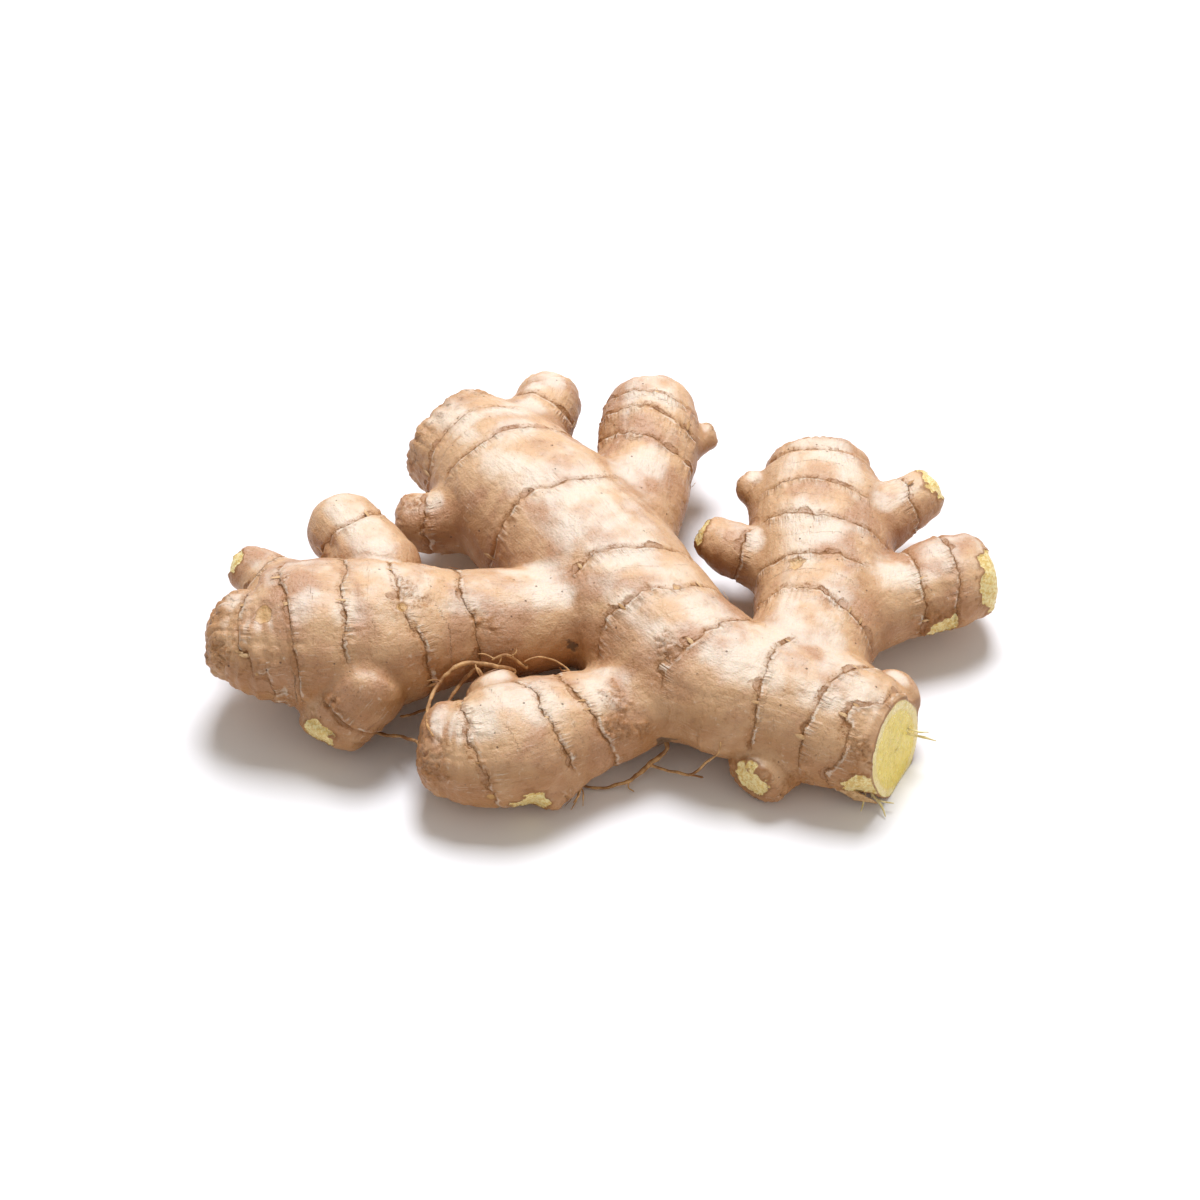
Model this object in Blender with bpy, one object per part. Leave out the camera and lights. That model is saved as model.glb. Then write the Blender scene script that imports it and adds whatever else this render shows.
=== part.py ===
"""Hand of fresh ginger: one branched rhizome with a cut end, and the thin roots still on it.

The rhizome lies flat, as it rests on a table. Each finger is a tapered tube lofted through a few
stations, and the tubes are melted together into one solid. +Z is up, +X runs along the longest
extent, and the origin is on the table under the middle of the bounding box.
"""
import math

import bmesh
import bpy
from mathutils import Vector

MM = 0.001

# Driving dimensions, millimetres.
SCALE = 1.0                 # 1.0 makes a hand of ginger 170 mm across
LOFT_STEPS = 4              # sections made between two stations
LOFT_SIDES = 20             # points round a section
CAP_RINGS = 4               # sections that close a rounded finger end
MELT_VOXEL = 1.2            # grid that the fingers are melted together on
MELT_PASSES = 8             # smoothing passes that round the crotches between fingers
KEPT_FACES = 0.08          # share of the melted faces that the solid keeps
CUTTER_SIZE = 60.0          # side of a knife block, larger than any finger is thick
TABLE_SIZE = 400.0          # side of the block that flattens what touches the table

# A finger: stations of (x, y, height of the centre, radius), height over width of its section,
# and length of its rounded end over the radius there.
FINGERS = {
    "trunk": {
        "stations": [(59.5, -47, 9, 10.5), (50.5, -43.5, 12, 14.25), (37, -37.5, 13.5, 14.75),
                     (22.5, -33, 15, 15.5), (8.5, -17.5, 16, 17), (-3.5, 2, 16, 18),
                     (-16.5, 19.5, 16, 18.5), (-26, 34, 15, 16), (-34, 42.5, 14.5, 13.25)],
        "flatness": 0.88, "end": 0.5},
    "left": {
        "stations": [(-7, -15, 16.5, 10.25), (-18.5, -17.5, 17, 11.75), (-27, -18.5, 17.5, 12.25),
                     (-35.5, -20, 18, 13.5), (-45, -22.5, 18.5, 15.75), (-55.5, -23, 18.5, 16.5),
                     (-66, -23, 18.5, 16.25), (-72.5, -24.5, 18.5, 13.25), (-77.5, -23.5, 18.5, 10)],
        "flatness": 0.92, "end": 0.75},
    "mid": {
        "stations": [(9, -34, 13.5, 10.75), (1, -39, 11.5, 10.5), (-9.5, -43.5, 11.5, 12.25),
                     (-19.5, -47.5, 11.5, 13.25), (-27.5, -49, 11, 12), (-32, -48.5, 10.5, 10.25)],
        "flatness": 0.92, "end": 0.6},
    "upper_mid": {
        "stations": [(5.5, 14.5, 16.5, 10.75), (8.5, 29.5, 16.5, 11.25), (10, 40, 17.5, 11.5),
                     (10, 48.5, 17.5, 10.25)],
        "flatness": 0.92, "end": 0.75},
    "right": {
        "stations": [(39.5, -33.5, 13, 12.5), (43.5, -21, 13.5, 13.25), (46.5, -7.5, 13, 14.75),
                     (47, 5.5, 13, 15.75), (47.5, 19.5, 13.5, 15.5), (47.5, 28, 14.5, 13),
                     (47.5, 31, 15, 10.25)],
        "flatness": 0.85, "end": 0.55},
    "right_low": {
        "stations": [(52.5, -10.5, 13, 10), (63.5, -6.5, 13, 9.25), (73, -2, 13, 10.5),
                     (78.5, 0, 13, 9.5)],
        "flatness": 0.95, "end": 0.6},
    "right_up": {
        "stations": [(58.5, 14.5, 14.5, 7.25), (65.5, 20, 15.5, 6.75), (70, 23.5, 15.5, 5.75)],
        "flatness": 1.0, "end": 0.8},
    "right_left": {
        "stations": [(37, 2.5, 13.5, 7), (28, 7.5, 14, 6.25), (24.5, 10.5, 14, 5)],
        "flatness": 1.0, "end": 0.9},
    "right_small": {
        "stations": [(37.5, 21.5, 15.5, 5.75), (33, 26, 15.5, 4)],
        "flatness": 1.0, "end": 0.9},
    "trunk_nub": {
        "stations": [(38.5, -43.5, 10.5, 7.75), (33.5, -49, 7, 7.25), (31.5, -51.5, 6, 6.5)],
        "flatness": 1.0, "end": 0.5},
    "cut_bump": {
        "stations": [(55.5, -38.5, 11.5, 7.25), (60, -34.5, 11.5, 6)],
        "flatness": 1.0, "end": 0.8},
    "left_top": {
        "stations": [(-49.5, -4, 18.5, 9.5), (-55, 4.5, 19.5, 8.25), (-57, 7.5, 19.5, 8.25)],
        "flatness": 1.0, "end": 1.0},
    "left_far": {
        "stations": [(-68, -12.5, 18.5, 8.5), (-74.5, -5.5, 18.5, 6), (-77, -3.5, 18.5, 5)],
        "flatness": 1.0, "end": 0.9},
    "left_nub": {
        "stations": [(-51, -36, 15.5, 8.5), (-56.5, -38, 9, 7.75), (-57.5, -39, 7.5, 7)],
        "flatness": 1.0, "end": 0.5},
    "mid_nub": {
        "stations": [(-9.5, -50, 8.5, 6.5), (-12.5, -54, 6, 5.75), (-13.5, -55.5, 5, 5)],
        "flatness": 1.0, "end": 0.5},
    "mid_back": {
        "stations": [(-19, -42.5, 12.5, 7.25), (-23.5, -36.5, 13.5, 6.25)],
        "flatness": 1.0, "end": 0.8},
    "tip_knob": {
        "stations": [(-21, 35.5, 15.5, 10.25), (-14, 51.5, 16, 7.5), (-14, 55, 16, 6.75)],
        "flatness": 1.0, "end": 0.85},
    "tip_left": {
        "stations": [(-29.5, 18.5, 14.5, 9), (-38.5, 17.5, 13, 7), (-43, 18, 12.5, 6.5)],
        "flatness": 1.0, "end": 0.6},
    "upper_nub": {
        "stations": [(19, 39.5, 16.5, 4.25), (22, 42, 16.5, 3)],
        "flatness": 1.0, "end": 0.9},
}

# The knife cut that took the hand off its plant, across the thick end of the trunk.
KNIFE_POINT = (59.2, -48.4, 10.5)
KNIFE_NORMAL = (0.86, -0.48, 0.16)

# Roots, chosen by hand: points of (x, y, z, radius), from the thick end to the tip.
ROOTS = {
    "root_arch": [(-19.4, -32.1, 17.3, 0.4), (-23.3, -33.4, 19.9, 0.45), (-27, -32.5, 19.9, 0.45),
                  (-30.2, -33.3, 20.5, 0.45), (-32.8, -34.9, 19.8, 0.45), (-34.7, -36.6, 18.5, 0.4),
                  (-36.3, -39.5, 17.6, 0.4), (-37, -42.9, 17.5, 0.35), (-37.1, -47, 18.3, 0.35),
                  (-36.5, -50.4, 19.4, 0.3), (-35.5, -52.8, 19.6, 0.25)],
    "root_dark": [(-27.2, -33.4, 19.1, 0.4), (-28.7, -33.8, 17.9, 0.4), (-30.7, -34.7, 15.9, 0.45),
                  (-32.1, -36.7, 15.2, 0.4), (-33, -38.3, 14.7, 0.35)],
    "root_cross": [(-31.2, -34.2, 10.5, 0.3), (-33.8, -34.1, 9.5, 0.3), (-36, -34.3, 8.5, 0.3),
                   (-39.2, -35.6, 8.5, 0.3), (-41.4, -36.9, 8.7, 0.3), (-43.2, -38, 9.5, 0.3)],
    "root_bridge": [(-49.3, -37.8, 4.2, 0.3), (-48, -38.3, 4.5, 0.35), (-45.9, -39.9, 5.5, 0.35),
                    (-43.4, -40.9, 6.5, 0.35), (-41.8, -42.5, 7.5, 0.35), (-39.5, -45.2, 9.5, 0.35),
                    (-38.9, -48, 11.2, 0.35)],
    "root_knot": [(-16.9, -30.3, 16.1, 0.3), (-18.8, -30.9, 18.7, 0.35), (-20.4, -30.9, 20.3, 0.35),
                  (-21.9, -31, 20.7, 0.3), (-23.9, -31.5, 20, 0.25)],
    "root_hair": [(-8, -30.4, 15.5, 0.2), (-10.1, -29.3, 16.5, 0.2), (-12, -28.9, 17.4, 0.2),
                  (-14.3, -29.4, 18.5, 0.2), (-15.9, -29.9, 18.6, 0.2), (-17.2, -30.4, 18.1, 0.2)],
    "root_under": [(12.5, -44.5, 6.6, 0.5), (11.2, -45.2, 5, 0.5), (9.3, -46, 4, 0.5),
                   (7.5, -47.3, 3, 0.5), (5.8, -48.5, 2.5, 0.45), (4.6, -49.5, 2, 0.4),
                   (1.8, -50.1, 1.5, 0.35), (-0.2, -50.5, 1, 0.35), (-2.7, -50.3, 0.8, 0.3),
                   (-4.8, -49.7, 0.7, 0.3)],
    "root_branch": [(8.7, -46.5, 3.7, 0.3), (12.3, -47.8, 3.5, 0.3), (14.6, -48.8, 4, 0.3),
                    (17, -49.9, 4.5, 0.3), (18.8, -49.7, 5.5, 0.3), (20.4, -49.3, 7.5, 0.25),
                    (22.1, -50.7, 11, 0.25), (23, -51, 13, 0.2), (23.3, -51.1, 15.7, 0.2)],
    "root_fork": [(17, -49.9, 4.5, 0.25), (19.9, -49.7, 3.5, 0.2)],
}
ROOT_SIDES = 8
ROOT_STEPS = 3              # sections made between two points of a root
GROWN_ONTO = {"root_branch": "root_under", "root_fork": "root_under"}   # side root: main root


def clear_scene():
    for old in list(bpy.data.objects):
        bpy.data.objects.remove(old, do_unlink=True)


def material(name, colour, roughness):
    """A plain Principled material in the sub-part's own colour."""
    made = bpy.data.materials.new(name)
    made.use_nodes = True
    shader = made.node_tree.nodes["Principled BSDF"]
    shader.inputs["Base Color"].default_value = (*colour, 1.0)
    shader.inputs["Roughness"].default_value = roughness
    shader.inputs["Metallic"].default_value = 0.0
    return made


def smooth_path(points, steps):
    """Catmull-Rom curve through the points, with steps sections between each two."""
    before = [2 * a - b for a, b in zip(points[0], points[1])]
    after = [2 * a - b for a, b in zip(points[-1], points[-2])]
    run = [before, *points, after]
    path = []
    for p0, p1, p2, p3 in zip(run, run[1:], run[2:], run[3:]):
        for step in range(steps):
            t = step / steps
            path.append([0.5 * (2 * b + (c - a) * t + (2 * a - 5 * b + 4 * c - d) * t * t
                                + (3 * b - a - 3 * c + d) * t ** 3)
                         for a, b, c, d in zip(p0, p1, p2, p3)])
    path.append(list(points[-1]))
    return path


def section_frames(path):
    """Centre, radius, tangent, level side and up vector of each section of a path."""
    centres = [Vector(row[:3]) for row in path]
    frames = []
    for i, row in enumerate(path):
        ahead = centres[min(i + 1, len(path) - 1)]
        behind = centres[max(i - 1, 0)]
        tangent = (ahead - behind).normalized()
        side = tangent.cross(Vector((0, 0, 1))).normalized()
        frames.append((centres[i], row[3], tangent, side, side.cross(tangent)))
    return frames


def end_sections(frame, length, outward, rings):
    """Sections that close a tube with a rounded end, from its rim towards its pole."""
    centre, radius, tangent, side, up = frame
    sections = []
    for ring in range(1, rings):
        angle = 0.5 * math.pi * ring / rings
        along = outward * length * radius * math.sin(angle)
        sections.append((centre + along * tangent, radius * math.cos(angle), tangent, side, up))
    pole = centre + outward * length * radius * tangent
    return sections, pole


def add_tube(bm, path, flatness, end, sides, rings):
    """Add a closed tube with rounded ends to bm; its points are in millimetres."""
    frames = section_frames(path)
    first, first_pole = end_sections(frames[0], end, -1, rings)
    last, last_pole = end_sections(frames[-1], end, 1, rings)
    loops = []
    for centre, radius, _tangent, side, up in [*reversed(first), *frames, *last]:
        loop = []
        for k in range(sides):
            turn = 2 * math.pi * k / sides
            offset = side * math.cos(turn) + up * flatness * math.sin(turn)
            loop.append(bm.verts.new((centre + radius * offset) * MM * SCALE))
        loops.append(loop)
    for loop, following in zip(loops, loops[1:]):
        for k in range(sides):
            m = (k + 1) % sides
            bm.faces.new((loop[k], loop[m], following[m], following[k]))
    for loop, pole in ((loops[0], first_pole), (loops[-1], last_pole)):
        tip = bm.verts.new(pole * MM * SCALE)
        for k in range(sides):
            bm.faces.new((loop[k], loop[(k + 1) % sides], tip))


def mesh_object(name, bm, skin):
    """Turn bm into an object, with every shell's faces pointing out."""
    bmesh.ops.recalc_face_normals(bm, faces=bm.faces)
    mesh = bpy.data.meshes.new(name)
    bm.to_mesh(mesh)
    bm.free()
    mesh.materials.append(skin)
    made = bpy.data.objects.new(name, mesh)
    bpy.context.collection.objects.link(made)
    mesh.shade_smooth()
    return made


def block(name, centre, normal, size, skin):
    """A cutter cube that lies on the side of a plane that its normal points to."""
    bm = bmesh.new()
    bmesh.ops.create_cube(bm, size=size * MM * SCALE)
    cutter = mesh_object(name, bm, skin)
    outward = Vector(normal).normalized()
    cutter.rotation_mode = "QUATERNION"
    cutter.rotation_quaternion = Vector((0, 0, 1)).rotation_difference(outward)
    cutter.location = (Vector(centre) + outward * size / 2) * MM * SCALE
    cutter.hide_render = True
    cutter.display_type = "WIRE"
    return cutter


def add_boolean(target, tool, operation):
    step = target.modifiers.new(f"{operation.lower()}_{tool.name}", "BOOLEAN")
    step.operation = operation
    step.object = tool
    step.solver = "EXACT"


def make_rhizome(skin):
    """Melt the fingers into one solid, then cut its thick end and flatten what it stands on."""
    bm = bmesh.new()
    for finger in FINGERS.values():
        path = smooth_path(finger["stations"], LOFT_STEPS)
        add_tube(bm, path, finger["flatness"], finger["end"], LOFT_SIDES, CAP_RINGS)
    rhizome = mesh_object("rhizome", bm, skin)

    melt = rhizome.modifiers.new("melt", "REMESH")
    melt.mode = "VOXEL"
    melt.voxel_size = MELT_VOXEL * MM * SCALE
    melt.use_smooth_shade = True
    rounding = rhizome.modifiers.new("round_crotches", "SMOOTH")
    rounding.factor = 0.5
    rounding.iterations = MELT_PASSES
    thin = rhizome.modifiers.new("thin_out", "DECIMATE")
    thin.ratio = KEPT_FACES

    knife = block("knife_block", KNIFE_POINT, KNIFE_NORMAL, CUTTER_SIZE, skin)
    table = block("table_block", (0, 0, 0), (0, 0, -1), TABLE_SIZE, skin)
    add_boolean(rhizome, knife, "DIFFERENCE")
    add_boolean(rhizome, table, "DIFFERENCE")
    return rhizome


def make_root(name, skin):
    """A thin root: a tapering round tube along its smooth route."""
    bm = bmesh.new()
    add_tube(bm, smooth_path(ROOTS[name], ROOT_STEPS), 1.0, 0.8, ROOT_SIDES, 2)
    return mesh_object(name, bm, skin)


def make_roots(skin):
    """Every root; a side root is grown onto its main root and is no object of its own."""
    made = {name: make_root(name, skin) for name in ROOTS}
    for side_root, main_root in GROWN_ONTO.items():
        made[side_root].hide_render = True
        made[side_root].display_type = "WIRE"
        add_boolean(made[main_root], made[side_root], "UNION")


clear_scene()
ginger_skin = material("ginger_skin", (0.58, 0.40, 0.24), 0.55)
root_skin = material("root_skin", (0.42, 0.25, 0.12), 0.7)
make_rhizome(ginger_skin)
make_roots(root_skin)
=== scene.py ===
"""A fresh ginger root on a pale table: skin with growth rings, scars, buds, a knife cut and dry rootlets.

All shapes are worked out in millimetres and turned into metres when a mesh is made.
"""
import math

import bpy
import numpy as np
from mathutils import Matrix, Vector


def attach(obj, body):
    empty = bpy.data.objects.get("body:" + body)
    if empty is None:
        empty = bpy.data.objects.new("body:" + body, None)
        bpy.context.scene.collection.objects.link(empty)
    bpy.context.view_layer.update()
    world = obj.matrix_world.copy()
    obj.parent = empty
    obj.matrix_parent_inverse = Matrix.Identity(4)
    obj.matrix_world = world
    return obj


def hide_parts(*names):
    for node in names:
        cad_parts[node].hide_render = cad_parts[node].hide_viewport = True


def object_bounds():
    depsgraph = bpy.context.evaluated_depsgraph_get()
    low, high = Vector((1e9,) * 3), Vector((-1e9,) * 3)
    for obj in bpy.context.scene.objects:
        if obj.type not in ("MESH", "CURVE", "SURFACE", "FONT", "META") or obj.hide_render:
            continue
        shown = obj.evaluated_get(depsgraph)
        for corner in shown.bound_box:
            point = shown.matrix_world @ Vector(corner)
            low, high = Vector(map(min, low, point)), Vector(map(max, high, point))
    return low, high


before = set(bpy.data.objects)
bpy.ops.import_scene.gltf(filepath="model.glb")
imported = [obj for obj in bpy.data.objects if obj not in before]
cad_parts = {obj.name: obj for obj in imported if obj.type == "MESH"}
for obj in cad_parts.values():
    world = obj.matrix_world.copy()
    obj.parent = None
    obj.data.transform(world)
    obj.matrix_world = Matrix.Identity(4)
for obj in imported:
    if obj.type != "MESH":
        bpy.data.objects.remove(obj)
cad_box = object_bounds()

MM = 0.001
# Spacing of the grid that the skin is made on, and curve pieces from one station to the next.
GRID_STEP = 0.45
PATH_STEPS = 4
UP = np.array([0.0, 0.0, 1.0])

# ---- the skeleton of the rhizome
# Each finger runs along stations (x, y, z, radius). "flat" is height over width, 1 where it isn't given,
# "end" is how far the tip reaches past the last station as a share of its radius, "melt" is how softly
# it joins the rest, and "square" is the exponent of its rounded cross-section.
FINGERS = {
    "trunk": dict(flat=0.88, end=0.3, melt=4.0, square=3.8, stations=[
        (59.5, -47, 9, 10.5), (50.5, -43.5, 12, 14.25), (37, -37.5, 13.5, 14.75), (22.5, -33, 15, 15.5),
        (8.5, -17.5, 16, 17), (-3.5, 2, 16, 18), (-16.5, 19.5, 16, 18.5), (-26, 34, 15, 16),
        (-34, 42.5, 14.5, 13.25)]),
    "mid": dict(flat=0.92, end=0.6, melt=4.0, square=2.6, stations=[
        (9, -34, 13.5, 10.75), (1, -39, 11.5, 10.5), (-9.5, -43.5, 11.5, 12.25), (-19.5, -47.5, 11.5, 13.25),
        (-27.5, -49, 11, 12), (-32, -48.5, 10.5, 10.25)]),
    "mid_back": dict(end=0.8, melt=1.5, square=2.0, stations=[
        (-19, -42.5, 12.5, 7.25), (-23.5, -36.5, 13.5, 6.25)]),
    "mid_nub": dict(end=0.5, melt=1.2, square=2.6, stations=[
        (-9.5, -50, 8.5, 6.5), (-12.5, -54, 6, 5.75), (-13.5, -55.5, 5, 5)]),
    "left": dict(flat=0.92, end=0.6, melt=4.0, square=2.5, stations=[
        (-7, -15, 16.5, 10.25), (-18.5, -17.5, 17, 11.75), (-27, -18.5, 17.5, 12.25), (-35.5, -20, 18, 13.5),
        (-45, -22.5, 18.5, 15.75), (-55.5, -23, 18.5, 16.5), (-66, -23, 18.5, 16.25),
        (-72.5, -24.5, 18.5, 13.25), (-77.5, -23.5, 18.5, 10)]),
    "left_top": dict(end=1.0, melt=2.0, square=2.0, stations=[
        (-49.5, -4, 18.5, 9.5), (-55, 4.5, 19.5, 8.25), (-57, 7.5, 19.5, 8.25)]),
    "left_far": dict(end=0.9, melt=3.0, square=2.0, stations=[
        (-68, -12.5, 18.5, 8.5), (-74.5, -5.5, 18.5, 6), (-77, -3.5, 18.5, 5)]),
    "left_nub": dict(end=0.5, melt=1.5, square=2.6, stations=[
        (-51, -36, 15.5, 8.5), (-56.5, -38, 9, 7.75), (-57.5, -39, 7.5, 7)]),
    "upper_mid": dict(flat=0.92, end=0.75, melt=3.5, square=2.4, stations=[
        (5.5, 14.5, 16.5, 10.75), (8.5, 29.5, 16.5, 11.25), (10, 40, 17.5, 11.5), (10, 48.5, 17.5, 10.25)]),
    "right": dict(flat=0.85, end=0.55, melt=4.0, square=2.6, stations=[
        (39.5, -33.5, 13, 12.5), (43.5, -21, 13.5, 13.25), (46.5, -7.5, 13, 14.75), (47, 5.5, 13, 15.75),
        (47.5, 19.5, 13.5, 15.5), (47.5, 28, 14.5, 13.75), (47.5, 31, 15, 11.75)]),
    "right_low": dict(flat=0.95, end=0.6, melt=3.0, square=2.6, stations=[
        (52.5, -10.5, 13, 10), (63.5, -6.5, 13, 9.25), (73, -2, 13, 10.5), (78.5, 0, 13, 9.5)]),
    "right_up": dict(end=0.8, melt=2.0, square=2.2, stations=[
        (58.5, 14.5, 14.5, 7.25), (65.5, 20, 15.5, 6.75), (70, 23.5, 15.5, 5.75)]),
    "right_left": dict(end=0.9, melt=2.0, square=2.2, stations=[
        (37, 2.5, 13.5, 7), (28, 7.5, 14, 6.25), (24.5, 10.5, 14, 5)]),
    "right_small": dict(end=0.9, melt=1.5, square=2.2, stations=[
        (37.5, 21.5, 15.5, 5.75), (33, 26, 15.5, 4)]),
    "trunk_nub": dict(end=0.5, melt=1.5, square=2.6, stations=[
        (38.5, -43.5, 10.5, 7.75), (33.5, -49, 7, 7.25), (31.5, -51.5, 6, 6.5)]),
    "cut_bump": dict(end=0.8, melt=1.5, square=2.0, stations=[
        (55.5, -38.5, 11.5, 7.25), (60, -34.5, 11.5, 6)]),
    "tip_knob": dict(end=0.85, melt=3.0, square=2.0, stations=[
        (-21, 35.5, 15.5, 10.25), (-14, 51.5, 16, 7.5), (-14, 55, 16, 6.75)]),
    "tip_left": dict(end=0.6, melt=2.0, square=2.4, stations=[
        (-29.5, 18.5, 14.5, 9), (-38.5, 17.5, 13, 7), (-43, 18, 12.5, 6.5)]),
    "upper_nub": dict(end=0.9, melt=1.0, square=2.2, stations=[
        (19, 39.5, 16.5, 4.25), (22, 42, 16.5, 3)]),
}
# The left finger only touches the middle one, so the two don't melt together in front of this line.
TOUCH_Y = -29.0
TOUCH_FADE = 6.0
TOUCH_MELT = 0.4
GROUP_MELT = 4.0
# Starting distances, larger than any that counts: to a finger, a ring, the next ring and a patch.
FAR = 40.0
NO_RING = 9.0
LONG_STRETCH = 14.0
NO_PATCH = 3.0

# The knife cut: a point in its plane, how far the blade reaches from there, and the way it faces.
KNIFE_POINT = np.array([59.2, -48.4, 10.5])
KNIFE_REACH = 24.0
KNIFE_NORMAL = np.array([0.86, -0.48, 0.16])
KNIFE_NORMAL = KNIFE_NORMAL / np.linalg.norm(KNIFE_NORMAL)

# Growth rings of each finger: how far they all lean towards its side and its top, and how far along
# the finger each one lies.
RINGS = {
    "trunk": ((-4, 3), (5, 12, 26, 40, 54, 68, 92, 112, 125)),
    "left": ((1, 3), (22, 35, 46, 58, 67)),
    "mid": ((2, 2), (16, 25, 39)),
    "upper_mid": ((-3, -1), (18, 26, 32)),
    "right": ((-2, 2), (15, 27, 39, 50, 63)),
    "right_low": ((-2, 1), (14, 22)),
    "right_up": ((-2, 0), (10,)),
    "right_left": ((0, 0), (7,)),
    "right_small": ((0, 0), (4,)),
    "left_nub": ((1, 0), (5,)),
    "left_top": ((1, -2), (11,)),
    "left_far": ((0, 0), (7,)),
    "mid_nub": ((0, 0), (5,)),
    "trunk_nub": ((0, 0), (8,)),
    "tip_knob": ((1, 0), (14,)),
    "tip_left": ((0, 0), (10,)),
}
# How crumpled each finger's tip is, and over what length.
CRUMPLED_TIPS = {
    "left": (1.0, 11), "mid": (0.75, 8), "trunk": (0.8, 11), "right": (0.6, 7), "upper_mid": (0.5, 6),
    "right_low": (0.6, 6), "right_up": (0.5, 5), "tip_left": (0.6, 5), "tip_knob": (0.3, 4),
    "right_left": (0.5, 4), "right_small": (0.4, 3), "upper_nub": (0.6, 3), "left_far": (0.4, 4),
    "cut_bump": (0.2, 4), "trunk_nub": (0.7, 5), "mid_nub": (0.3, 3), "left_nub": (0.25, 3),
}
# Bare yellow scars at the tips, where a bud or a small finger broke off: radius, which way round the
# finger the scar turns in degrees (0 is its side, 90 its top), and how far out from the tip's middle
# it lies as a share of the finger's radius.
TIP_SCARS = {"left_nub": (4, 90, 0.8), "mid_nub": (4, 90, 0.7), "trunk_nub": (4, 90, 0.4),
             "left_far": (3, 130, 0.7), "right_up": (4, 70, 0.8), "right_low": (7, 30, 0.6),
             "right_left": (3, 135, 0.7), "tip_knob": (2, 90, 0.5)}
# Marks on the skin: finger, how far along it, degrees around it (0 is its side, 90 its top), and radius.
FLESH_SCARS = [("right_low", 17, 345, 3), ("trunk", 3, 190, 4)]
PEELED_MARKS = [
    ("left", 66, 110, 2), ("left", 38, 112, 1), ("right", 26, 115, 2), ("trunk", 56, 80, 1),
    ("mid", 38, 185, 1)]
CRUSTY_MARKS = [
    ("mid", 12, 140, 3), ("mid", 10, 115, 3), ("mid", 8, 165, 2), ("mid", 44, 125, 2), ("mid", 46, 150, 3),
    ("trunk", 47, 120, 2), ("trunk", 7, 150, 3), ("trunk", 5, 175, 3), ("left", 72, 160, 3),
    ("left", 20, 130, 2), ("left", 34, 110, 2), ("left", 36, 95, 2), ("left_nub", 3, 120, 2),
    ("tip_left", 14, 90, 3), ("trunk_nub", 9, 180, 3), ("right_low", 17, 350, 4), ("left_top", 9, 180, 2)]
SOIL_MARKS = [
    ("trunk", 44, 205, 2), ("trunk", 41, 200, 2), ("left", 3, 170, 1), ("left_nub", 8, 60, 1),
    ("mid", 3, 210, 2)]

# ---- small numeric helpers
# The eight corners of a grid cell, as steps along x, y and z.
CORNERS = [(corner & 1, corner >> 1 & 1, corner >> 2 & 1) for corner in range(8)]
NOISE_CELLS = 32
NOISE_TABLE = np.random.default_rng(11).random((NOISE_CELLS,) * 3, dtype=np.float32) * 2 - 1


def noise(points, size, seed=0):
    """Smooth random lumps between -1 and 1, about `size` millimetres across."""
    spot = points / size + seed * 5.37
    cell = np.floor(spot).astype(np.int32)
    share = (spot - cell).astype(np.float32)
    share = share * share * (3 - 2 * share)
    total = np.zeros(len(points), np.float32)
    for step in CORNERS:
        weight = np.ones(len(points), np.float32)
        for axis in range(3):
            weight *= share[:, axis] if step[axis] else 1 - share[:, axis]
        index = (cell + step) % NOISE_CELLS
        total += weight * NOISE_TABLE[index[:, 0], index[:, 1], index[:, 2]]
    return total


def ridges(points, size, seed=0):
    """Sharp creases between rounded folds: 1 on a fold's crest and 0 in a crease."""
    return np.minimum(np.abs(noise(points, size, seed)) * 2.2, 1)


def smoothstep(low, high, value):
    """From 0 at `low` to 1 at `high`, smooth between and level outside. `high` may be the smaller."""
    share = np.clip((value - low) / (high - low), 0, 1)
    return share * share * (3 - 2 * share)


def smooth_path(stations, steps=PATH_STEPS):
    """Points on a smooth curve through the stations, with the other columns carried along."""
    rows = np.array(stations, float)
    rows = np.vstack([2 * rows[0] - rows[1], rows, 2 * rows[-1] - rows[-2]])
    out = []
    for a, b, c, d in zip(rows[:-3], rows[1:-2], rows[2:-1], rows[3:]):
        for t in np.arange(steps) / steps:
            out.append(0.5 * (2 * b + (c - a) * t + (2 * a - 5 * b + 4 * c - d) * t ** 2
                              + (3 * b - a - 3 * c + d) * t ** 3))
    out.append(rows[-2])
    return np.array(out)


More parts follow.
